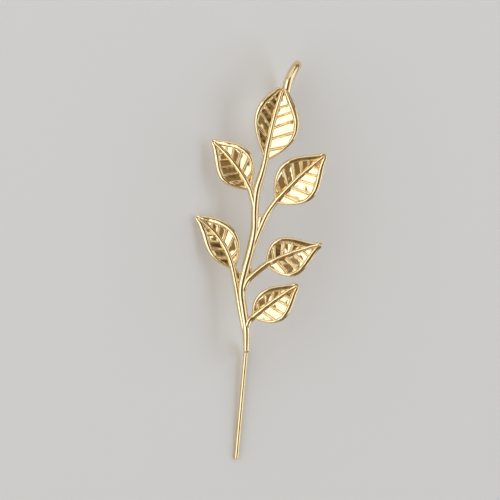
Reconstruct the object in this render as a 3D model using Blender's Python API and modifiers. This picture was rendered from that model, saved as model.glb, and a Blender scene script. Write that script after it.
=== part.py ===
"""Leafy ear cuff: a cast sprig with a hook over the ear's rim and a straight pin through the lobe.

The sprig is drawn as it is worn: first number across, second number up, third number out from the
ear. At the end everything is turned together into the way the piece lies on a table.
"""
import math

import bmesh
import bpy
import numpy as np
from mathutils import Matrix, Vector

# Main sizes in metres. Positions in the tables are shares of SPRIG_HEIGHT from the stem's foot.
SPRIG_HEIGHT = 0.0460
LEAF_THICKNESS = 0.00085
LEAF_END_WIDTH = 0.00088
RIM_WIDTH = 0.00078
RIM_HEIGHT = 0.00022
MIDRIB_WIDTH = 0.00100
MIDRIB_HEIGHT = 0.00042
VEIN_WIDTH = 0.00034
VEIN_HEIGHT = 0.00014
STEM_WIDTH = 0.00145
SHOOT_WIDTH = 0.00105
FOOT_BEAD_WIDTH = 0.00135
HOOK_WIRE = 0.00158
HOOK_GAP = 0.0066
HOOK_TAIL = 0.0110
PIN_WIRE = 0.00087
LOBE_GAP = 0.0056
PIN_LENGTH = 0.0200

# Slopes and shares without a length of their own.
FOLD = 0.27
VEIN_SWEEP = 0.70
END_ROUNDING = 0.02
TIP_FLATNESS = 0.32
VEIN_SHARES = (0.17, 0.31, 0.45, 0.59, 0.73)
PIN_SLANT = -0.091

# Leaf outlines. foot and tip: ends of the midrib. bow: sideways bend of the midrib, a share of the
# leaf's length, to the left when positive. width, near, far: widest half width as a share of the
# length, and how sharply that side narrows to the foot and to the tip. tip_width: the round tip as a
# share of LEAF_END_WIDTH. lift: how far the tip comes forward, a share of the length. roll: extra
# slope of the whole leaf across its midrib.
LEAF_COLUMNS = ("name", "foot_across", "foot_up", "tip_across", "tip_up", "bow",
                "left_width", "left_near", "left_far", "right_width", "right_near", "right_far",
                "tip_width", "lift", "roll")
LEAF_ROWS = (
    ("top", 0.073, 0.725, 0.141, 1.000, 0.019, 0.259, 1.35, 1.04, 0.351, 0.92, 1.02, 1.84, -0.02, 0.00),
    ("left_top", 0.014, 0.613, -0.130, 0.797, -0.054, 0.333, 0.89, 1.23, 0.305, 1.25, 1.34, 1.28, 0.03, 0.04),
    ("right_top", 0.111, 0.563, 0.303, 0.742, 0.028, 0.304, 1.21, 1.48, 0.355, 0.97, 1.32, 1.68, 0.04, -0.03),
    ("left_low", -0.052, 0.313, -0.191, 0.507, -0.10, 0.267, 0.77, 1.12, 0.273, 1.01, 1.23, 1.32, 0.05, 0.02),
    ("right_mid", 0.079, 0.327, 0.288, 0.402, 0.032, 0.316, 1.04, 1.95, 0.386, 0.80, 1.27, 1.20, 0.05, 0.00),
    ("right_low", 0.028, 0.127, 0.198, 0.248, 0.021, 0.269, 0.91, 1.43, 0.381, 0.81, 1.18, 1.52, 0.04, 0.03),
)

# Stem from its foot up to the top leaf. width is a share of STEM_WIDTH.
STEM_COLUMNS = ("across", "up", "width")
STEM_ROWS = (
    (0.000, 0.000, 0.80),
    (-0.001, 0.076, 0.90),
    (-0.012, 0.152, 1.00),
    (-0.019, 0.228, 1.02),
    (-0.004, 0.304, 1.02),
    (0.016, 0.380, 1.00),
    (0.031, 0.456, 0.97),
    (0.033, 0.532, 0.92),
    (0.041, 0.608, 0.92),
    (0.061, 0.677, 0.84),
)

# Side shoots. root lies inside the stem, low and high beside it; the shoot ends in its leaf's foot.
SHOOT_COLUMNS = ("leaf", "root_across", "root_up", "low_across", "low_up", "high_across", "high_up",
                 "width")
SHOOT_ROWS = (
    ("left_top", 0.036, 0.500, 0.030, 0.552, 0.021, 0.588, 1.00),
    ("right_top", 0.016, 0.357, 0.042, 0.433, 0.077, 0.513, 1.00),
    ("left_low", -0.005, 0.053, -0.022, 0.144, -0.038, 0.240, 0.95),
    ("right_mid", -0.021, 0.196, -0.007, 0.240, 0.016, 0.276, 1.08),
    ("right_low", -0.004, 0.061, 0.003, 0.095, 0.014, 0.114, 1.08),
)

# Webs: a little metal fills the sharp corner between the stem and these shoots. Each spans from the
# stem to the shoot and is width wide. WEB_THICKNESS is a share of SHOOT_WIDTH.
WEB_COLUMNS = ("leaf", "stem_across", "stem_up", "shoot_across", "shoot_up", "width")
WEB_ROWS = (
    ("right_top", 0.0325, 0.4917, 0.0668, 0.4917, 0.0500),
    ("left_low", -0.0165, 0.242, -0.0513, 0.317, 0.0250),
    ("right_mid", 0.0090, 0.335, 0.0111, 0.270, 0.0217),
)
WEB_THICKNESS = 0.70


def table(columns, rows):
    """Rows of a short table as dictionaries with named values."""
    return [dict(zip(columns, row)) for row in rows]


LEAVES = {leaf["name"]: leaf for leaf in table(LEAF_COLUMNS, LEAF_ROWS)}


def smooth_path(points, steps):
    """Points of a smooth curve through the given ones, steps to each span."""
    points = np.asarray(points, dtype=float)
    before = 2 * points[0] - points[1]
    after = 2 * points[-1] - points[-2]
    padded = np.vstack([before, points, after])
    share = (np.arange(steps) / steps)[:, None]
    spans = []
    for i in range(1, len(padded) - 2):
        p0, p1, p2, p3 = padded[i - 1:i + 3]
        spans.append(0.5 * (2 * p1 + (p2 - p0) * share + (2 * p0 - 5 * p1 + 4 * p2 - p3) * share ** 2
                            + (3 * p1 - 3 * p2 + p3 - p0) * share ** 3))
    spans.append(points[-1:])
    return np.vstack(spans)


def rod(name, path, widths):
    """Round rod along a path as a closed mesh; widths holds the rod's width at each point."""
    widths = np.broadcast_to(widths, len(path))
    curve = bpy.data.curves.new(name + " line", "CURVE")
    curve.dimensions = "3D"
    curve.bevel_depth = float(widths.max()) / 2
    curve.bevel_resolution = 3
    curve.use_fill_caps = True
    spline = curve.splines.new("POLY")
    spline.points.add(len(path) - 1)
    for point, place, width in zip(spline.points, path, widths):
        point.co = (place[0], place[1], place[2], 1.0)
        point.radius = width / widths.max()
    holder = bpy.data.objects.new(name + " line", curve)
    bpy.context.scene.collection.objects.link(holder)
    bpy.context.view_layer.update()
    mesh = bpy.data.meshes.new_from_object(holder.evaluated_get(bpy.context.evaluated_depsgraph_get()))
    bpy.data.objects.remove(holder)
    bpy.data.curves.remove(curve)
    shape = bmesh.new()
    shape.from_mesh(mesh)
    bmesh.ops.remove_doubles(shape, verts=shape.verts, dist=0.000001)
    bmesh.ops.recalc_face_normals(shape, faces=shape.faces)
    shape.to_mesh(mesh)
    shape.free()
    mesh.name = name
    return mesh


def leaf_frame(leaf, share):
    """Midrib points, directions to the left and length of a leaf, at shares along its midrib."""
    foot = np.array([leaf["foot_across"], leaf["foot_up"]]) * SPRIG_HEIGHT
    tip = np.array([leaf["tip_across"], leaf["tip_up"]]) * SPRIG_HEIGHT
    along = tip - foot
    length = float(np.hypot(*along))
    left = np.array([-along[1], along[0]]) / length
    share = np.asarray(share)[..., None]
    place = foot + along * share + left * 4 * leaf["bow"] * length * share * (1 - share)
    heading = along + left * 4 * leaf["bow"] * length * (1 - 2 * share)
    heading = heading / np.linalg.norm(heading, axis=-1, keepdims=True)
    return place, np.stack([-heading[..., 1], heading[..., 0]], axis=-1), length


def half_width(leaf, side, share, length):
    """Half width of one side of a leaf at shares along its midrib: blunt at the foot, round at the tip."""
    near = leaf[side + "_near"]
    far = leaf[side + "_far"]

    def narrowing(place):
        return (place + END_ROUNDING) ** near * (1 - place + END_ROUNDING) ** far

    widest = narrowing(np.linspace(0, 1, 101)).max()
    blade = leaf[side + "_width"] * length * narrowing(share) / widest
    blunt = LEAF_END_WIDTH / 2 * (1 + (leaf["tip_width"] - 1) * share)
    to_tip = np.clip((1 - share) * length / (leaf["tip_width"] * LEAF_END_WIDTH / 2), 0, 1)
    return np.hypot(blade, blunt) * np.maximum(np.sqrt(1 - (1 - to_tip) ** 2), TIP_FLATNESS)


def leaf_level(leaf, share, length):
    """Height of the leaf's upper face along its midrib: it rises or sinks towards the tip."""
    return SHOOT_WIDTH / 2 - MIDRIB_HEIGHT + leaf["lift"] * length * share ** 2


def leaf_mesh(leaf):
    """One leaf: a grid whose rows follow the veins, thickened, then raised into rim and veins."""
    length = leaf_frame(leaf, 0.0)[2]
    vein_half = VEIN_WIDTH / 2 / length * 1.3
    rows = [(0.0, 0), (0.03, 0), (0.085, 0)]
    for vein in VEIN_SHARES:
        rows += [(vein - vein_half, 0), (vein, 1), (vein + vein_half, 0)]
    rows += [(0.83, 0), (0.92, 0), (0.965, 0), (1.0, 0)]
    columns = np.arange(-5, 6)

    sheet = bmesh.new()
    bmesh.ops.create_grid(sheet, x_segments=len(columns) - 1, y_segments=len(rows) - 1, size=0.5)
    relief = []
    for vert in sheet.verts:
        column = int(columns[round((vert.co.x + 0.5) * (len(columns) - 1))])
        share, on_vein = rows[round((vert.co.y + 0.5) * (len(rows) - 1))]
        side = "left" if column < 0 else "right"
        edge_share = share + VEIN_SWEEP * share * (1 - share)
        edge = half_width(leaf, side, edge_share, length)
        rib = min(MIDRIB_WIDTH / 2 * (1 - 0.4 * share), 0.30 * edge)
        rim_foot = max(edge - RIM_WIDTH, 0.60 * edge)
        rim_crest = max(edge - 0.70 * RIM_WIDTH, 0.72 * edge)
        reach = (0.0, rib, (rib + rim_foot) / 2, rim_foot, rim_crest, edge)[abs(column)]
        here = share + (edge_share - share) * reach / edge
        place, left, _ = leaf_frame(leaf, here)
        offset = reach if side == "left" else -reach
        level = leaf_level(leaf, here, length) + FOLD * reach + leaf["roll"] * offset
        level -= 0.35 * FOLD * reach ** 2 / edge
        full = min(1.0, edge / (2 * RIM_WIDTH))
        raised = (MIDRIB_HEIGHT * (1 - 0.4 * share) * full, VEIN_HEIGHT * on_vein,
                  VEIN_HEIGHT * on_vein, VEIN_HEIGHT * on_vein, RIM_HEIGHT * full, 0.0)[abs(column)]
        vert.co = (place[0] + left[0] * offset, place[1] + left[1] * offset, level)
        relief.append(raised)
    bmesh.ops.recalc_face_normals(sheet, faces=sheet.faces)
    flat = bpy.data.meshes.new("leaf sheet")
    sheet.to_mesh(flat)
    sheet.free()
    if flat.polygons[0].normal.z < 0:
        flat.flip_normals()

    holder = bpy.data.objects.new("leaf sheet", flat)
    bpy.context.scene.collection.objects.link(holder)
    thicken = holder.modifiers.new("thickness", "SOLIDIFY")
    thicken.thickness = LEAF_THICKNESS
    thicken.offset = -1.0
    bpy.context.view_layer.update()
    mesh = bpy.data.meshes.new_from_object(holder.evaluated_get(bpy.context.evaluated_depsgraph_get()))
    bpy.data.objects.remove(holder)
    bpy.data.meshes.remove(flat)
    for vert, raised in zip(mesh.vertices, relief):
        vert.co.z += raised
    mesh.name = leaf["name"] + " leaf"
    return mesh


def sunk_end(leaf, width):
    """Where a shoot sinks into its leaf: points on the midrib and the rod's width there."""
    points = []
    for share, depth in ((0.0, 0.0), (0.07, 0.15), (0.15, 0.45)):
        place, _, length = leaf_frame(leaf, share)
        level = leaf_level(leaf, share, length) - leaf_level(leaf, 0.0, length)
        points.append((place[0], place[1], level - depth * SHOOT_WIDTH))
    return points, [width, 0.9 * width, 0.7 * width]


def stem_mesh():
    """The stem, from its foot into the top leaf's midrib."""
    rows = table(STEM_COLUMNS, STEM_ROWS)
    end, end_widths = sunk_end(LEAVES["top"], rows[-1]["width"] * STEM_WIDTH)
    points = [(row["across"] * SPRIG_HEIGHT, row["up"] * SPRIG_HEIGHT, 0.0) for row in rows]
    widths = [row["width"] * STEM_WIDTH for row in rows]
    lined = np.column_stack([np.array(points + end[1:]), widths + end_widths[1:]])
    path = smooth_path(lined, 4)
    return rod("stem", path[:, :3], path[:, 3])


def shoot_mesh(shoot):
    """One side shoot: out of the stem, beside it, then away into its leaf's midrib."""
    leaf = LEAVES[shoot["leaf"]]
    width = shoot["width"] * SHOOT_WIDTH
    points = []
    for stage, forward in (("root", -0.12), ("low", 0.10), ("high", 0.06)):
        points.append((shoot[stage + "_across"] * SPRIG_HEIGHT, shoot[stage + "_up"] * SPRIG_HEIGHT,
                       forward * width))
    end, end_widths = sunk_end(leaf, width)
    lined = np.column_stack([np.array(points + end), [0.75 * width, width, width] + end_widths])
    path = smooth_path(lined, 4)
    return rod(shoot["leaf"] + " shoot", path[:, :3], path[:, 3])


def web_mesh(web):
    """Metal in the corner of stem and shoot: a straight rod between them, flattened from the front."""
    stem_end = np.array([web["stem_across"], web["stem_up"], 0.0]) * SPRIG_HEIGHT
    shoot_end = np.array([web["shoot_across"], web["shoot_up"], 0.0]) * SPRIG_HEIGHT
    width = web["width"] * SPRIG_HEIGHT
    mesh = rod(web["leaf"] + " web", np.array([stem_end, shoot_end]), width)
    mesh.transform(Matrix.Diagonal((1.0, 1.0, WEB_THICKNESS * SHOOT_WIDTH / width, 1.0)))
    mesh.transform(Matrix.Translation((0.0, 0.0, -0.07 * SHOOT_WIDTH)))
    return mesh


def hook_mesh():
    """Hook wire: soldered behind the top leaf, over the ear's rim, plain rounded tail behind it."""
    leaf = LEAVES["top"]
    bend = (HOOK_GAP + HOOK_WIRE) / 2
    front = -0.62 * HOOK_WIRE
    points = []
    for share, depth in ((0.45, -0.42), (0.58, -0.55), (0.72, -0.62), (0.85, -0.62)):
        place, left, _ = leaf_frame(leaf, share)
        shift = place - left * 0.021 * SPRIG_HEIGHT * share
        points.append((shift[0], shift[1], depth * HOOK_WIRE))
    start = np.array([points[-1][0] + 0.0115 * SPRIG_HEIGHT, leaf["tip_up"] * SPRIG_HEIGHT])
    start[1] += 0.25 * HOOK_WIRE
    lean = np.array([0.23, 0.973])
    for step in range(11):
        angle = math.pi * step / 10
        place = start + lean * bend * math.sin(angle)
        place[0] += 0.225 * bend * math.sin(angle) ** 2
        points.append((place[0], place[1], front - bend + bend * math.cos(angle)))
    tail = np.array([-0.30, -0.954])
    for step in (1, 2, 3):
        place = start + tail * HOOK_TAIL * step / 3
        points.append((place[0], place[1], front - 2 * bend))
    lined = smooth_path(points, 2)
    round_end = lined[-1] + np.array([tail[0], tail[1], 0.0]) * HOOK_WIRE * 0.28
    path = np.vstack([lined, round_end])
    widths = np.full(len(path), HOOK_WIRE)
    widths[0] = 0.55 * HOOK_WIRE
    widths[1] = 0.80 * HOOK_WIRE
    widths[-1] = 0.62 * HOOK_WIRE
    return rod("hook", path, widths)


def pin_mesh():
    """Pin wire: back from the foot through the lobe, then straight down behind it, cut flat."""
    drop = Vector((PIN_SLANT, -1.0, 0.0)).normalized()
    turn = 1.5 * PIN_WIRE
    behind = -(STEM_WIDTH * STEM_ROWS[0][2] / 2 + LOBE_GAP + PIN_WIRE / 2)
    points = [(0.0, 0.0, 0.1 * PIN_WIRE), (0.0, 0.0, (behind + turn) / 2)]
    for step in range(7):
        angle = math.pi / 2 * step / 6
        down = turn * (1 - math.cos(angle))
        points.append((drop.x * down, drop.y * down, behind + turn - turn * math.sin(angle)))
    for share in (0.35, 0.7, 1.0):
        down = turn + (PIN_LENGTH - turn) * share
        points.append((drop.x * down, drop.y * down, behind))
    path = np.array(points) + np.array([0.0, 0.25 * PIN_WIRE, 0.0])
    return rod("pin", path, np.full(len(path), PIN_WIRE))


def bead_mesh():
    """Small bead of solder at the stem's foot, where the pin leaves."""
    shape = bmesh.new()
    bmesh.ops.create_uvsphere(shape, u_segments=12, v_segments=8, radius=FOOT_BEAD_WIDTH / 2)
    bmesh.ops.translate(shape, verts=shape.verts, vec=(0.0, 0.14 * FOOT_BEAD_WIDTH, -0.07 * FOOT_BEAD_WIDTH))
    mesh = bpy.data.meshes.new("foot bead")
    shape.to_mesh(mesh)
    shape.free()
    return mesh


def corners(mesh):
    """All corner points of a mesh as an array."""
    flat = np.empty(len(mesh.vertices) * 3, dtype=np.float32)
    mesh.vertices.foreach_get("co", flat)
    return flat.reshape(-1, 3).astype(float)


def resting_turn(feet):
    """Turn that puts three feet, each a cloud of points, on one level plane with the face up."""
    up = np.array([-0.45, 0.0, 0.9])
    for _ in range(30):
        lowest = [foot[np.argmin(foot @ up)] for foot in feet]
        normal = np.cross(lowest[1] - lowest[0], lowest[2] - lowest[0])
        normal = normal / np.linalg.norm(normal)
        up = normal if normal[2] > 0 else -normal
    forward = np.array([0.0, 1.0, 0.0]) - up * up[1]
    forward = forward / np.linalg.norm(forward)
    return np.array([np.cross(forward, up), forward, up])


# Start empty.
for old in list(bpy.data.objects):
    bpy.data.objects.remove(old)

# Pieces as worn.
pieces = {"stem": stem_mesh(), "foot bead": bead_mesh()}
for row in table(SHOOT_COLUMNS, SHOOT_ROWS):
    pieces[row["leaf"] + " shoot"] = shoot_mesh(row)
for row in table(WEB_COLUMNS, WEB_ROWS):
    pieces[row["leaf"] + " web"] = web_mesh(row)
for leaf_row in LEAVES.values():
    pieces[leaf_row["name"] + " leaf"] = leaf_mesh(leaf_row)
pieces["hook"] = hook_mesh()
pieces["pin"] = pin_mesh()

# Laid down: it rests on the hook's tail, the pin and the back of a left leaf.
left_leaves = np.vstack([corners(pieces["left_top leaf"]), corners(pieces["left_low leaf"])])
turn_rows = resting_turn([corners(pieces["hook"]), corners(pieces["pin"]), left_leaves])
laid = np.vstack([corners(mesh) @ turn_rows.T for mesh in pieces.values()])
low = laid.min(axis=0)
high = laid.max(axis=0)
rest = Matrix([list(line) for line in turn_rows]).to_4x4()
rest.translation = (-(low[0] + high[0]) / 2, -(low[1] + high[1]) / 2, -low[2])
for mesh in pieces.values():
    mesh.transform(rest)

# One polished gold for the whole casting.
gold = bpy.data.materials.new("polished gold")
gold.use_nodes = True
shader = gold.node_tree.nodes["Principled BSDF"]
shader.inputs["Base Color"].default_value = (0.88, 0.66, 0.36, 1.0)
shader.inputs["Metallic"].default_value = 1.0
shader.inputs["Roughness"].default_value = 0.14

cuff_collection = bpy.data.collections.new("leaf ear cuff")
bpy.context.scene.collection.children.link(cuff_collection)
joined_collection = bpy.data.collections.new("joined pieces")
bpy.context.scene.collection.children.link(joined_collection)

for mesh in pieces.values():
    mesh.materials.clear()
    mesh.materials.append(gold)
    mesh.shade_smooth()

# Cast and soldered together: every piece is united with the stem.
ear_cuff = bpy.data.objects.new("ear_cuff", pieces.pop("stem"))
cuff_collection.objects.link(ear_cuff)
for name, mesh in pieces.items():
    piece = bpy.data.objects.new(name, mesh)
    joined_collection.objects.link(piece)
    piece.hide_render = True
    piece.display_type = "WIRE"
    solder = ear_cuff.modifiers.new("join " + name, "BOOLEAN")
    solder.operation = "UNION"
    solder.solver = "EXACT"
    solder.object = piece
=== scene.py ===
"""Dressed model of the leafy ear cuff: polished gold casting, hook and pin, lying on a pale table."""

import math

import bpy
import numpy as np
from mathutils import Matrix


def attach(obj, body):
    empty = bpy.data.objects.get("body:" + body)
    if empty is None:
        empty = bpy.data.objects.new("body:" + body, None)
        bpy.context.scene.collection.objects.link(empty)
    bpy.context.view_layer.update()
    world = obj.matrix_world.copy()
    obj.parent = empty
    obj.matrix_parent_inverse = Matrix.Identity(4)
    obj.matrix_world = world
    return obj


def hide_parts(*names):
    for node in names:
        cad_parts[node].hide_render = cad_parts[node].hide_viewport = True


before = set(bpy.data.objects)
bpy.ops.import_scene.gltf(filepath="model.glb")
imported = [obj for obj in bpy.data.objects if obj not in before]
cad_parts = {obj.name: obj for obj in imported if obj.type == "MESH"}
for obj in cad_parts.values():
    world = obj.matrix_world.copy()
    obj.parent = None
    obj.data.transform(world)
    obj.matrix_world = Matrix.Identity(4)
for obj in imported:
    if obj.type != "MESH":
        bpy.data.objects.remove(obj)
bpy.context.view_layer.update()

# The stem is the sprig's backbone: a slender cast rod, a little uneven, that swings in a slow S from
# its foot at the ear lobe to the top leaf. It is brass, polished and plated with pale gold.
# Shapes are drawn as worn, in metres: across, up, and out from the ear, from the stem's foot.
SPRIG_HEIGHT = 0.0460
STEM_WIDTH = 0.00145

# How the cuff lies, copied from the turn in which the solid rests on its pin, its hook and a left leaf:
# leaning over onto its left leaves, nodding a touch, its foot at this place.
LEAN = math.radians(38.7039)
NOD = math.radians(-1.3029)
FOOT_PLACE = np.array([-0.002482, -0.015657, 0.006265])


def laid_axes():
    """Turn from worn to lying: a lean about the upright axis, then a nod about the row's X."""
    lean = np.array([[math.cos(LEAN), 0, -math.sin(LEAN)], [0, 1, 0], [math.sin(LEAN), 0, math.cos(LEAN)]])
    nod = np.array([[1, 0, 0], [0, math.cos(NOD), -math.sin(NOD)], [0, math.sin(NOD), math.cos(NOD)]])
    return nod @ lean


def laid(points):
    """Points as worn, turned and moved to where the cuff lies."""
    return points @ laid_axes().T + FOOT_PLACE


def polished_gold():
    """Mirror-polished pale gold with the faint unevenness of a cast and hand-buffed surface."""
    material = bpy.data.materials.new("polished pale gold")
    material.use_nodes = True
    nodes = material.node_tree.nodes
    links = material.node_tree.links
    shader = nodes["Principled BSDF"]
    shader.inputs["Metallic"].default_value = 1.0
    shader.inputs["Roughness"].default_value = 0.12
    place = nodes.new("ShaderNodeTexCoord")

    cloud = nodes.new("ShaderNodeTexNoise")
    cloud.inputs["Scale"].default_value = 420.0
    cloud.inputs["Detail"].default_value = 3.0
    links.new(place.outputs["Object"], cloud.inputs["Vector"])
    tint = nodes.new("ShaderNodeValToRGB")
    tint.color_ramp.elements[0].position = 0.35
    tint.color_ramp.elements[0].color = (0.84, 0.62, 0.32, 1.0)
    tint.color_ramp.elements[1].position = 0.68
    tint.color_ramp.elements[1].color = (0.91, 0.71, 0.40, 1.0)
    links.new(cloud.outputs["Fac"], tint.inputs["Fac"])
    links.new(tint.outputs["Color"], shader.inputs["Base Color"])

    smear = nodes.new("ShaderNodeTexNoise")
    smear.inputs["Scale"].default_value = 1500.0
    smear.inputs["Detail"].default_value = 2.0
    links.new(place.outputs["Object"], smear.inputs["Vector"])
    gloss = nodes.new("ShaderNodeMapRange")
    gloss.inputs["From Min"].default_value = 0.3
    gloss.inputs["From Max"].default_value = 0.7
    gloss.inputs["To Min"].default_value = 0.07
    gloss.inputs["To Max"].default_value = 0.17
    links.new(smear.outputs["Fac"], gloss.inputs["Value"])
    links.new(gloss.outputs["Result"], shader.inputs["Roughness"])

    skin = nodes.new("ShaderNodeBump")
    skin.inputs["Strength"].default_value = 0.25
    skin.inputs["Distance"].default_value = 0.00003
    links.new(smear.outputs["Fac"], skin.inputs["Height"])
    links.new(skin.outputs["Normal"], shader.inputs["Normal"])
    return material


gold = polished_gold()


def closed_skin(name, rings):
    """Mesh of rings of points (ring, around, xyz), wrapped round and shut at both ends by a fan."""
    count, around = rings.shape[:2]
    ends = np.stack([rings[0].mean(axis=0), rings[-1].mean(axis=0)])
    points = np.concatenate([rings.reshape(-1, 3), ends])
    here = np.arange(around)
    after = (here + 1) % around
    starts = np.arange(count - 1)[:, None] * around
    walls = np.stack(
        [starts + here, starts + after, starts + around + after, starts + around + here], axis=-1)
    first = np.stack([after, here, np.full(around, count * around)], axis=-1)
    last = np.stack([here, after, np.full(around, count * around + 1)], axis=-1)
    last[:, :2] += (count - 1) * around
    mesh = bpy.data.meshes.new(name)
    mesh.from_pydata(points.tolist(), [], walls.reshape(-1, 4).tolist() + first.tolist() + last.tolist())
    mesh.update()
    volume_sign = np.einsum("ij,ij->i", rings[:-1].reshape(-1, 3) - ends[0],
                            np.cross(rings[:-1][:, after].reshape(-1, 3) - ends[0],
                                     rings[1:].reshape(-1, 3) - ends[0])).sum()
    if volume_sign < 0:
        mesh.flip_normals()
    mesh.shade_smooth()
    return mesh


def add_gold(mesh):
    """The mesh as a piece of the cuff, in gold, standing for the CAD solid."""
    piece = bpy.data.objects.new(mesh.name, mesh)
    bpy.context.scene.collection.objects.link(piece)
    mesh.materials.append(gold)
    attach(piece, "root")
    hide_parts("ear_cuff")
    return piece


def smooth_line(points, count):
    """Even-stepped curve through the points: a cubic through each pair, bent by its neighbours."""
    points = np.asarray(points, dtype=float)
    padded = np.vstack([2 * points[0] - points[1], points, 2 * points[-1] - points[-2]])
    place = np.linspace(0, len(points) - 1, count)
    span = np.minimum(place.astype(int), len(points) - 2)
    t = (place - span)[:, None]
    a, b, c, d = (padded[span + k] for k in range(4))
    square = 2 * a - 5 * b + 4 * c - d
    cube = 3 * b - 3 * c + d - a
    return 0.5 * (2 * b + (c - a) * t + square * t ** 2 + cube * t ** 3)


def hand_wobble(seed, share, turn):
    """Slow unevenness between -1 and 1: a few waves along and round a rod, from a fixed seed."""
    draw = np.random.default_rng(seed)
    total = 0.0
    for wave in range(5):
        along = draw.uniform(2.0, 9.0)
        lobes = draw.integers(0, 4)
        phase = draw.uniform(0, 2 * np.pi)
        total = total + np.cos(2 * np.pi * along * share + lobes * turn + phase)
    return total / 5


def rod_rings(line, widths, level_axis, seed, sides=40, uneven=0.035, flat=1.0):
    """Rings of a rod: a circle of the given widths carried along the line, square to its heading.

    level_axis is the direction that the rings' zero angle keeps to; flat squeezes them along it.
    """
    heading = np.gradient(line, axis=0)
    heading /= np.linalg.norm(heading, axis=1, keepdims=True)
    first = level_axis - heading * (heading @ level_axis)[:, None]
    first /= np.linalg.norm(first, axis=1, keepdims=True)
    second = np.cross(heading, first)
    turn = np.linspace(0, 2 * np.pi, sides, endpoint=False)
    share = np.linspace(0, 1, len(line))[:, None]
    radius = np.asarray(widths)[:, None] / 2 * (1 + uneven * hand_wobble(seed, share, turn[None, :]))
    return (line[:, None] + first[:, None] * (radius * np.cos(turn) * flat)[..., None]
            + second[:, None] * (radius * np.sin(turn))[..., None])


def round_ends(line, widths, steps=7, start=True, end=True):
    """The line and widths with a half-round added at each end: widths shrink as a circle does."""
    turn = np.linspace(0, np.pi / 2, steps + 1)[1:] * 0.97
    parts = [(line, widths)]
    if start:
        back = line[0] - line[1]
        back = back / np.linalg.norm(back)
        cap = line[0] + back * np.sin(turn)[:, None] * widths[0] / 2
        parts.insert(0, (cap[::-1], (widths[0] * np.cos(turn))[::-1]))
    if end:
        on = line[-1] - line[-2]
        on = on / np.linalg.norm(on)
        parts.append((line[-1] + on * np.sin(turn)[:, None] * widths[-1] / 2, widths[-1] * np.cos(turn)))
    return np.vstack([p[0] for p in parts]), np.concatenate([p[1] for p in parts])


OUT = np.array([0.0, 0.0, 1.0])

# across and up are shares of the sprig's height, width is a share of the stem's width.
STEM_COLUMNS = ("across", "up", "width")
STEM_ROWS = (
    (0.000, 0.000, 0.70),
    (-0.001, 0.076, 0.90),
    (-0.012, 0.152, 1.00),
    (-0.019, 0.228, 1.02),
    (-0.004, 0.304, 1.02),
    (0.016, 0.380, 1.00),
    (0.031, 0.456, 0.97),
    (0.033, 0.532, 0.92),
    (0.041, 0.608, 0.92),
    (0.061, 0.677, 0.84),
)

# The six leaves are cast with the stem: broad and pointed, folded a little along the middle, with a
# rounded raised rim, a rod-like midrib and narrow raised side veins. The fields between the veins
# are nearly flat and polished, each tilted its own way. Lengths are shares as in the stem's table.
# FIELD_SLOPE and FIELD_TILT: how far a field tips along and across the leaf. WAVE and CRUMPLE: the slow
# and the fine unevenness of the cast skin, the fine one stronger on a leaf's left half.
SHOOT_WIDTH = 0.00105
LEAF_THICKNESS = 0.00085
LEAF_END_WIDTH = 0.00088
RIM_WIDTH = 0.00078
RIM_HEIGHT = 0.00020
MIDRIB_WIDTH = 0.00100
MIDRIB_HEIGHT = 0.00042
VEIN_WIDTH = 0.00040
VEIN_HEIGHT = 0.00022
VEIN_SLANT_COSINE = 0.80
FOLD = 0.20
END_ROUNDING = 0.02
CREST_TO_EDGE = 0.76
FIELD_SLOPE = 0.00022
FIELD_DISH = 0.00005
FIELD_TILT = {"left": 0.00046, "right": 0.00016}
WAVE_HEIGHT = 0.000060
WAVE_LENGTH = 0.0024
CRUMPLE_HEIGHT = {"left": 0.000030, "right": 0.000012}
CRUMPLE_LENGTH = 0.0009

# foot and tip: ends of the midrib. bow: its sideways bend, to the left when positive. width, near,
# far: widest half width, and how sharply that side narrows to the foot and to the tip. tip_width: the
# round tip as a share of LEAF_END_WIDTH. lift: how far the tip comes forward. roll: extra slope across
# the midrib. sweep: how far the veins run forward. The numbers from foot to far aren't chosen by hand:
# they come from a fit of the outline's formula to points that were read off.
LEAF_COLUMNS = ("name", "foot_across", "foot_up", "tip_across", "tip_up", "bow",
                "left_width", "left_near", "left_far", "right_width", "right_near", "right_far",
                "tip_width", "lift", "roll", "sweep")
LEAF_ROWS = (
    ("top", 0.073, 0.725, 0.141, 1.000, 0.019,
     0.259, 1.35, 1.04, 0.351, 0.92, 1.02, 1.84, -0.02, 0.00, 1.15),
    ("left_top", 0.014, 0.613, -0.130, 0.797, -0.054,
     0.333, 0.89, 1.23, 0.305, 1.25, 1.34, 1.28, 0.03, -0.01, 1.00),
    ("right_top", 0.111, 0.563, 0.303, 0.742, 0.028,
     0.304, 1.21, 1.48, 0.355, 0.97, 1.32, 1.68, 0.04, -0.03, 1.00),
    ("left_low", -0.052, 0.313, -0.191, 0.507, -0.100,
     0.267, 0.77, 1.12, 0.273, 1.01, 1.23, 1.32, 0.05, -0.03, 1.00),
    ("right_mid", 0.079, 0.327, 0.288, 0.402, 0.032,
     0.316, 1.04, 1.95, 0.386, 0.80, 1.27, 1.20, 0.05, 0.00, 0.95),
    ("right_low", 0.028, 0.127, 0.198, 0.248, 0.021,
     0.269, 0.91, 1.43, 0.381, 0.81, 1.18, 1.52, 0.04, 0.03, 0.90),
)
LEAVES = {row[0]: dict(zip(LEAF_COLUMNS, row)) for row in LEAF_ROWS}

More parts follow.
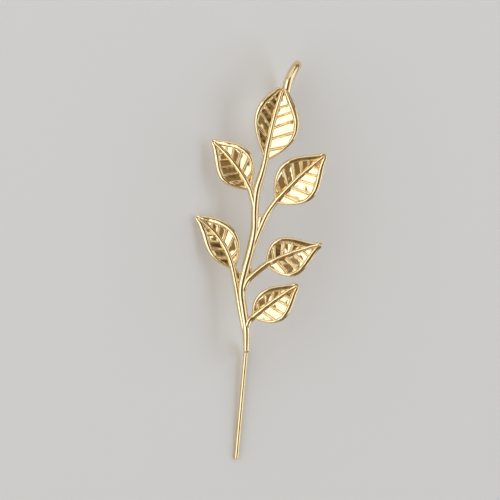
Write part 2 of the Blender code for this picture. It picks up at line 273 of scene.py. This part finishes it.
# Where the side veins leave each leaf's midrib, as shares of its length, on its left and its right.
VEINS = {
    "top": ((0.14, 0.28, 0.42, 0.55, 0.68, 0.80), (0.12, 0.27, 0.42, 0.56, 0.70)),
    "left_top": ((0.14, 0.28, 0.42, 0.56, 0.70), (0.14, 0.28, 0.42, 0.56, 0.70)),
    "right_top": ((0.13, 0.27, 0.41, 0.55, 0.69), (0.14, 0.29, 0.44, 0.59, 0.73)),
    "left_low": ((0.15, 0.29, 0.43, 0.57, 0.71), (0.13, 0.27, 0.41, 0.55, 0.69)),
    "right_mid": ((0.14, 0.28, 0.42, 0.56, 0.70), (0.16, 0.32, 0.48, 0.63, 0.77)),
    "right_low": ((0.14, 0.29, 0.44, 0.59, 0.73), (0.17, 0.34, 0.51, 0.67)),
}


def midrib(leaf, share):
    """Points on a leaf's midrib, the direction to its left there, and the leaf's length.

    A straight line from foot to tip, bent aside by a parabola.
    """
    foot = np.array([leaf["foot_across"], leaf["foot_up"]]) * SPRIG_HEIGHT
    tip = np.array([leaf["tip_across"], leaf["tip_up"]]) * SPRIG_HEIGHT
    along = tip - foot
    length = float(np.hypot(*along))
    left = np.array([-along[1], along[0]]) / length
    share = np.asarray(share)[..., None]
    place = foot + along * share + left * 4 * leaf["bow"] * length * share * (1 - share)
    heading = along + left * 4 * leaf["bow"] * length * (1 - 2 * share)
    heading = heading / np.linalg.norm(heading, axis=-1, keepdims=True)
    return place, np.stack([-heading[..., 1], heading[..., 0]], axis=-1), length


def half_width(leaf, side, share, length):
    """Half width of one side: a power of the share times a power of what is left, with blunt ends."""
    near = leaf[side + "_near"]
    far = leaf[side + "_far"]

    def narrowing(place):
        return (place + END_ROUNDING) ** near * (1 - place + END_ROUNDING) ** far

    blade = leaf[side + "_width"] * length * narrowing(share) / narrowing(np.linspace(0, 1, 101)).max()
    return np.hypot(blade, LEAF_END_WIDTH / 2 * (1 + (leaf["tip_width"] - 1) * share))


def midrib_level(leaf, share, length):
    """Height of the blade along its midrib: it rises or sinks as the square of the share."""
    return SHOOT_WIDTH / 2 - MIDRIB_HEIGHT + leaf["lift"] * length * np.asarray(share) ** 2


def ripple(across, up, seed, wave_length):
    """Gentle waves of a cast surface: a sum of six level waves in directions drawn from a seed."""
    draw = np.random.default_rng(seed)
    total = 0.0
    for wave in range(6):
        angle = draw.uniform(0, 2 * np.pi)
        pace = 2 * np.pi / (wave_length * draw.uniform(0.7, 1.5))
        phase = draw.uniform(0, 2 * np.pi)
        total = total + np.sin(pace * (across * np.cos(angle) + up * np.sin(angle)) + phase)
    return total / 6


def vein_relief(rows, veins, length, seed):
    """Height of veins and fields along the rows of one side of a leaf.

    A vein is an upturned parabola across its width. A field between two veins is tilted by its own
    small amount along the leaf, dished by a parabola, and tilted by another amount across the leaf.
    """
    draw = np.random.default_rng(seed)
    relief = np.zeros_like(rows)
    for vein in veins:
        away = (rows - vein) * length * VEIN_SLANT_COSINE / (VEIN_WIDTH / 2)
        relief = np.maximum(relief, VEIN_HEIGHT * np.clip(1 - away ** 2, 0, None))
    bounds = np.array((0.0,) + veins + (1.0,))
    tilt = draw.uniform(-1, 1, len(bounds) - 1)
    field = np.clip(np.searchsorted(bounds, rows, side="right") - 1, 0, len(tilt) - 1)
    inside = (rows - bounds[field]) / (bounds[field + 1] - bounds[field])
    slope = FIELD_SLOPE * tilt[field] * (inside - 0.5)
    dish = -FIELD_DISH * 4 * inside * (1 - inside)
    return relief, slope + dish, draw.uniform(-1, 1, len(tilt))[field]


def leaf_skin(leaf, seed):
    """A leaf as rings round its section, from foot to tip; each ring follows a pair of veins.

    On the top a ring runs from the midrib over the field to the rim's crest, which lies near its
    inner side, then half round the edge by an ellipse and back below.
    """
    rows = 1 - (1 - np.linspace(0, 1, 230)) ** 1.25
    length = midrib(leaf, 0.0)[2]
    field_steps = np.linspace(0, 1, 30)
    rim_steps = np.linspace(0, 1, 10)[1:]
    edge_turn = np.linspace(0, np.pi, 19)[1:]
    back_steps = np.linspace(1, 0, 14)[1:]
    halves = []
    for side, hand, veins in zip(("left", "right"), (1, -1), VEINS[leaf["name"]]):
        edge_share = rows + leaf["sweep"] * rows * (1 - rows) ** 1.5
        edge = half_width(leaf, side, edge_share, length)
        tip_span = 0.5 * leaf["tip_width"] * LEAF_END_WIDTH / length
        cap = np.sqrt(1 - np.clip((rows - 1 + tip_span) / tip_span, 0, 0.998) ** 2)
        edge = edge * cap
        rim = np.minimum(RIM_WIDTH, 0.85 * edge)
        crest = edge - CREST_TO_EDGE * rim
        inner = edge - rim
        bead = RIM_HEIGHT * np.minimum(1, rim / RIM_WIDTH)
        thick = LEAF_THICKNESS * cap

        reach = np.concatenate([
            inner[:, None] * field_steps,
            inner[:, None] + (crest - inner)[:, None] * rim_steps,
            crest[:, None] + CREST_TO_EDGE * rim[:, None] * np.sin(edge_turn),
            crest[:, None] * back_steps], axis=1)
        share = rows[:, None] + (edge_share - rows)[:, None] * reach / edge[:, None]
        place, left, _ = midrib(leaf, share)
        blade = midrib_level(leaf, share, length) + (FOLD + leaf["roll"] * hand) * reach
        ridge, field, across_tilt = vein_relief(rows, veins, length, seed + (hand > 0))
        across = place[..., 0] + left[..., 0] * hand * reach
        up = place[..., 1] + left[..., 1] * hand * reach
        wavy = (WAVE_HEIGHT * ripple(across, up, seed, WAVE_LENGTH)
                + CRUMPLE_HEIGHT[side] * ripple(across, up, seed + 5, CRUMPLE_LENGTH))

        flat = len(field_steps)
        rise = flat + len(rim_steps)
        turned = rise + len(edge_turn)
        height = blade.copy()
        fade = np.clip((1 - field_steps) / 0.12, 0, 1) * np.clip(field_steps / 0.10, 0, 1)
        tilted = field[:, None] + FIELD_TILT[side] * across_tilt[:, None] * (field_steps - 0.5)
        height[:, :flat] += ridge[:, None] + tilted * fade
        over = np.sqrt(1 - (1 - rim_steps) ** 2)
        height[:, flat:rise] += np.maximum(bead[:, None] * over, ridge[:, None] * (1 - over))
        middle = (bead - thick) / 2
        reach_down = (bead + thick) / 2
        height[:, flat:turned] += wavy[:, flat:turned] * 0.5
        height[:, rise:turned] += middle[:, None] + reach_down[:, None] * np.cos(edge_turn)
        height[:, turned:] -= thick[:, None]
        height[:, :flat] += wavy[:, :flat]
        halves.append(np.stack([across, up, height], axis=-1))
    left_half, right_half = halves
    return np.concatenate([left_half, right_half[:, ::-1]], axis=1)


for number, leaf in enumerate(LEAVES.values()):
    add_gold(closed_skin(leaf["name"] + "_leaf", laid(leaf_skin(leaf, 40 + 10 * number))))


# Stem and shoots run on into the leaves as their midribs, one tapering rod each. The shoots lie
# against the stem for a way before they leave it, so a groove shows between the two.
def rib_line(leaf, base_width, reach=0.94, count=9):
    """Rod along a leaf's midrib: its back sinks into the blade, its crest stands proud.

    Its width goes over from base_width to 0.68 of MIDRIB_WIDTH by a power of the share, and its crest
    falls evenly from 1.15 to 0.80 of MIDRIB_HEIGHT above the blade.
    """
    share = np.linspace(0.0, reach, count)
    place, _, length = midrib(leaf, share)
    width = base_width + (MIDRIB_WIDTH * 0.68 - base_width) * share ** 0.80
    proud = MIDRIB_HEIGHT * (1.15 - 0.35 * share)
    level = midrib_level(leaf, share, length) + proud - width / 2
    level[0] = SHOOT_WIDTH / 2 - width[0] / 2
    return np.column_stack([place, level, width])


def build_stem():
    """Stem through its table's rows, then the top leaf's midrib."""
    stem = dict(zip(STEM_COLUMNS, np.array(STEM_ROWS).T))
    lower = np.column_stack([stem["across"] * SPRIG_HEIGHT, stem["up"] * SPRIG_HEIGHT,
                             np.zeros(len(STEM_ROWS)), stem["width"] * STEM_WIDTH])
    rib = rib_line(LEAVES["top"], 0.80 * STEM_WIDTH)
    lined = smooth_line(np.vstack([lower, rib]), 420)
    line, widths = round_ends(lined[:, :3], lined[:, 3])
    add_gold(closed_skin("stem", laid(rod_rings(line, widths, OUT, 3, sides=48, uneven=0.05))))


build_stem()

# Three points where a shoot lies beside the stem, and its width as a share of SHOOT_WIDTH.
SHOOT_COLUMNS = ("leaf", "root_across", "root_up", "low_across", "low_up",
                 "high_across", "high_up", "width")
SHOOT_ROWS = (
    ("left_top", 0.036, 0.500, 0.030, 0.552, 0.021, 0.588, 1.00),
    ("right_top", 0.016, 0.357, 0.042, 0.433, 0.077, 0.513, 1.00),
    ("left_low", -0.005, 0.053, -0.022, 0.144, -0.038, 0.240, 0.95),
    ("right_mid", -0.021, 0.196, -0.007, 0.240, 0.016, 0.276, 1.08),
    ("right_low", -0.004, 0.061, 0.003, 0.095, 0.014, 0.114, 1.08),
)
for number, row in enumerate(SHOOT_ROWS):
    shoot = dict(zip(SHOOT_COLUMNS, row))
    width = shoot["width"] * SHOOT_WIDTH
    beside = [(shoot[stage + "_across"] * SPRIG_HEIGHT, shoot[stage + "_up"] * SPRIG_HEIGHT,
               forward * width, share * width)
              for stage, forward, share in (("root", -0.12, 0.75), ("low", 0.10, 1.0), ("high", 0.06, 1.0))]
    lined = smooth_line(np.vstack([beside, rib_line(LEAVES[shoot["leaf"]], width)]), 260)
    line, widths = round_ends(lined[:, :3], lined[:, 3])
    add_gold(closed_skin(shoot["leaf"] + "_shoot", laid(rod_rings(line, widths, OUT, 20 + number))))

# Webs of the cast metal fill three sharp corners between stem and shoot. Each is a short flattened
# rod, a little behind the others' crests. The right top one lies along its groove, more nearly flush,
# and ends in a half-round above.
CORNER_LOW = np.array([0.0440, 0.4520, 0.0])
CORNER_HIGH = np.array([0.0553, 0.5000, 0.0])
CORNER_WIDTHS = (0.0150, 0.0220)
CORNER_FORWARD = 0.16
CORNER_FLATNESS = 0.70
line = np.linspace(CORNER_LOW, CORNER_HIGH, 30) * SPRIG_HEIGHT + CORNER_FORWARD * SHOOT_WIDTH * OUT
line, widths = round_ends(line, np.linspace(*CORNER_WIDTHS, 30) * SPRIG_HEIGHT, start=False)
add_gold(closed_skin("right_top_web", laid(rod_rings(line, widths, OUT, 60, flat=CORNER_FLATNESS))))

# across, up and width are shares of the sprig's height, thickness and set-back of a shoot's width.
WEB_COLUMNS = ("leaf", "stem_across", "stem_up", "shoot_across", "shoot_up", "width")
WEB_ROWS = (
    ("left_low", -0.0165, 0.242, -0.0513, 0.317, 0.0250),
    ("right_mid", 0.0090, 0.335, 0.0111, 0.270, 0.0217),
)
WEB_THICKNESS = 0.64
WEB_SET_BACK = 0.20
for number, row in enumerate(WEB_ROWS):
    web = dict(zip(WEB_COLUMNS, row))
    stem_end = np.array([web["stem_across"], web["stem_up"], 0.0])
    shoot_end = np.array([web["shoot_across"], web["shoot_up"], 0.0])
    line = np.linspace(stem_end, shoot_end, 36) * SPRIG_HEIGHT - WEB_SET_BACK * SHOOT_WIDTH * OUT
    widths = np.full(36, web["width"] * SPRIG_HEIGHT)
    rings = rod_rings(line, widths, OUT, 61 + number, flat=WEB_THICKNESS * SHOOT_WIDTH / widths[0])
    add_gold(closed_skin(web["leaf"] + "_web", laid(rings)))

# The hook is a thicker round wire, soldered to the back of the top leaf. It rises past the leaf's
# tip, turns over the rim of the ear and comes down behind it to a plain rounded end.
HOOK_WIRE = 0.00158
HOOK_GAP = 0.0066
HOOK_TAIL = 0.0105
HOOK_SUNK = 0.62
BEND_HEADING = np.array([0.23, 0.973])
BEND_BOW = 0.225
TAIL_HEADING = np.array([-0.30, -0.954])
# A little under the wire, so that the skin's unevenness stays within the solid's box.
HOOK_WIDTH = 0.98 * HOOK_WIRE
ACROSS = np.array([1.0, 0.0, 0.0])


def hook_line():
    """Straight up behind the leaf, half a circle backward in a leaning plane, straight down.

    HOOK_SUNK is how far behind the leaf's face the wire's middle runs, as a share of the wire. The
    headings are across and up, and BEND_BOW is how far the half circle bulges to the right.
    """
    leaf = LEAVES["top"]
    bend = (HOOK_GAP + HOOK_WIRE) / 2
    front = -HOOK_SUNK * HOOK_WIRE
    share = np.array([0.45, 0.58, 0.72, 0.85])
    depth = np.array([-0.42, -0.55, -HOOK_SUNK, -HOOK_SUNK])
    place, left, _ = midrib(leaf, share)
    place = place - left * 0.021 * SPRIG_HEIGHT * share[:, None]
    behind = np.column_stack([place, depth * HOOK_WIRE])
    start = np.array([place[-1, 0] + 0.0115 * SPRIG_HEIGHT,
                      leaf["tip_up"] * SPRIG_HEIGHT + 0.25 * HOOK_WIRE])
    angle = np.linspace(0, np.pi, 11)
    over = start + BEND_HEADING * bend * np.sin(angle)[:, None]
    over[:, 0] += BEND_BOW * bend * np.sin(angle) ** 2
    over = np.column_stack([over, front - bend + bend * np.cos(angle)])
    tail = start + TAIL_HEADING * HOOK_TAIL * np.array([1, 2, 3])[:, None] / 3
    tail = np.column_stack([tail, np.full(3, front - 2 * bend)])
    return smooth_line(np.vstack([behind, over, tail]), 300)


hook = hook_line()
line, widths = round_ends(hook, np.full(len(hook), HOOK_WIDTH))
add_gold(closed_skin("hook", laid(rod_rings(line, widths, ACROSS, 11, sides=56, uneven=0.015))))

# The pin is thin drawn wire, soldered into the stem's foot. It goes back through the ear lobe, turns
# down in a small bend and ends in a square cut with its burr rubbed off.
PIN_WIRE = 0.00087
LOBE_GAP = 0.0056
PIN_LENGTH = 0.0200
PIN_SLANT = -0.091
FOOT_DEPTH = 0.80 * STEM_WIDTH
# The straight part's width, kept within the solid's box like the hook's, and the two last widths.
PIN_WIDTH = 0.96 * PIN_WIRE
PIN_END_WIDTHS = (0.92 * PIN_WIRE, 0.78 * PIN_WIRE)
PIN_BURR = 0.00008


def pin_line():
    """Straight back, a quarter circle of one and a half wires, straight down."""
    drop = np.array([PIN_SLANT, -1.0, 0.0]) / math.hypot(PIN_SLANT, 1.0)
    bend = 1.5 * PIN_WIRE
    behind = -(FOOT_DEPTH / 2 + LOBE_GAP + PIN_WIRE / 2)
    back = np.linspace(0, behind + bend, 20)[:-1, None] * OUT
    angle = np.linspace(0, np.pi / 2, 24)[:, None]
    turn = drop * bend * (1 - np.cos(angle)) + OUT * (behind + bend - bend * np.sin(angle))
    down = drop * np.linspace(bend, PIN_LENGTH, 60)[1:, None] + OUT * behind
    return np.vstack([back, turn, down]) + np.array([0.0, 0.25 * PIN_WIRE, 0.0])


line = pin_line()
widths = np.full(len(line), PIN_WIDTH)
burr = line[-1] - line[-2]
burr = burr / np.linalg.norm(burr)
line[-1] -= burr * PIN_BURR
line = np.vstack([line, line[-1] + 0.625 * burr * PIN_BURR, line[-1] + burr * PIN_BURR])
widths = np.append(widths, PIN_END_WIDTHS)
add_gold(closed_skin("pin", laid(rod_rings(line, widths, ACROSS, 12, sides=40, uneven=0.006))))

# A bead of solder closes the joint of pin and stem: a small uneven drop.
FOOT_BEAD_WIDTH = 0.00108


def bead_rings():
    """A ball, its radius uneven by a few slow waves."""
    polar = np.linspace(0.03, np.pi - 0.03, 40)[:, None]
    turn = np.linspace(0, 2 * np.pi, 48, endpoint=False)[None, :]
    radius = FOOT_BEAD_WIDTH / 2 * (1 + 0.05 * hand_wobble(31, polar / np.pi * 0.3, turn))
    ball = np.stack([radius * np.sin(polar) * np.cos(turn), radius * np.cos(polar) + 0 * turn,
                     radius * np.sin(polar) * np.sin(turn)], axis=-1)
    return ball + np.array([0.0, -0.03, -0.04]) * FOOT_BEAD_WIDTH


add_gold(closed_skin("foot_bead", laid(bead_rings())))

# The table is a broad sheet of matt board, a warm white that looks neutral in the cool light.
TABLE_HALF = 1.5
board = bpy.data.meshes.new("table")
corners = TABLE_HALF * np.array([[-1, -1, 0], [1, -1, 0], [1, 1, 0], [-1, 1, 0]])
board.from_pydata(corners.tolist(), [], [(0, 1, 2, 3)])
table = bpy.data.objects.new("table", board)
bpy.context.scene.collection.objects.link(table)
paper = bpy.data.materials.new("matt white board")
paper.use_nodes = True
paper.node_tree.nodes["Principled BSDF"].inputs["Base Color"].default_value = (0.86, 0.81, 0.74, 1.0)
paper.node_tree.nodes["Principled BSDF"].inputs["Roughness"].default_value = 0.9
board.materials.append(paper)

# Light comes from two large soft panels, one low on the left and one on the right, and two weaker ones
# past the ends of the cuff, in a room of dim amber light.
def from_face(angle):
    """Direction that many degrees to the right of straight out from the sprig's face."""
    turn = math.radians(angle)
    return laid_axes() @ np.array([math.sin(turn), 0.0, math.cos(turn)])


def soft_panel(name, toward, distance, size, power):
    """Cool white light panel, seen from the cuff in the direction toward, facing it."""
    lamp = bpy.data.lights.new(name, "AREA")
    lamp.shape = "RECTANGLE"
    lamp.size, lamp.size_y = size
    lamp.energy = power
    lamp.color = (0.68, 0.81, 1.0)
    holder = bpy.data.objects.new(name, lamp)
    bpy.context.scene.collection.objects.link(holder)
    back = np.array(toward, dtype=float)
    back /= np.linalg.norm(back)
    side = np.cross([0.0, 1.0, 0.0], back)
    side /= np.linalg.norm(side)
    up = np.cross(back, side)
    matrix = Matrix.Identity(4)
    for column, axis in enumerate((side, up, back)):
        for line_number in range(3):
            matrix[line_number][column] = float(axis[line_number])
    matrix.translation = (back * distance).tolist()
    holder.matrix_world = matrix
    return holder


soft_panel("left panel", from_face(-29), 0.70, (0.54, 1.00), 3.75)
soft_panel("right panel", from_face(82), 0.70, (0.90, 0.90), 3.45)
soft_panel("top panel", laid_axes() @ np.array([0.10, 0.90, 0.43]), 0.75, (0.90, 0.80), 2.1)
soft_panel("bottom panel", laid_axes() @ np.array([-0.10, -0.90, 0.43]), 0.75, (0.60, 0.35), 0.5)


def studio_room():
    """A dim amber room, with a darker patch to the right of where the camera stands."""
    room = bpy.data.worlds.new("studio")
    room.use_nodes = True
    nodes = room.node_tree.nodes
    links = room.node_tree.links
    backdrop = nodes["Background"]
    backdrop.inputs["Color"].default_value = (1.0, 0.78, 0.47, 1.0)
    direction = nodes.new("ShaderNodeTexCoord")
    nearness = nodes.new("ShaderNodeVectorMath")
    nearness.operation = "DOT_PRODUCT"
    nearness.inputs[1].default_value = from_face(17).tolist()
    links.new(direction.outputs["Object"], nearness.inputs[0])
    shade = nodes.new("ShaderNodeMapRange")
    shade.interpolation_type = "SMOOTHSTEP"
    shade.inputs["From Min"].default_value = math.cos(math.radians(16))
    shade.inputs["From Max"].default_value = math.cos(math.radians(6))
    shade.inputs["To Min"].default_value = 0.26
    shade.inputs["To Max"].default_value = 0.09
    links.new(nearness.outputs["Value"], shade.inputs["Value"])
    links.new(shade.outputs["Result"], backdrop.inputs["Strength"])
    return room


bpy.context.scene.world = studio_room()
bpy.context.scene.view_settings.view_transform = "Standard"

# The camera looks straight at the sprig's face, with the photograph's framing of it.
PICTURE_HEIGHT = 0.0875
PICTURE_CENTRE = np.array([0.00065, 0.0175, 0.0])
LENS = 150.0
SENSOR = 36.0
camera_data = bpy.data.cameras.new("camera")
camera_data.lens = LENS
camera_data.sensor_width = SENSOR
camera = bpy.data.objects.new("camera", camera_data)
bpy.context.scene.collection.objects.link(camera)
away = PICTURE_HEIGHT * LENS / SENSOR
eye = laid(PICTURE_CENTRE + OUT * away)
facing = Matrix([list(row) for row in laid_axes()]).to_4x4()
facing.translation = eye.tolist()
camera.matrix_world = facing
camera_data.clip_start = 0.01
bpy.context.scene.camera = camera
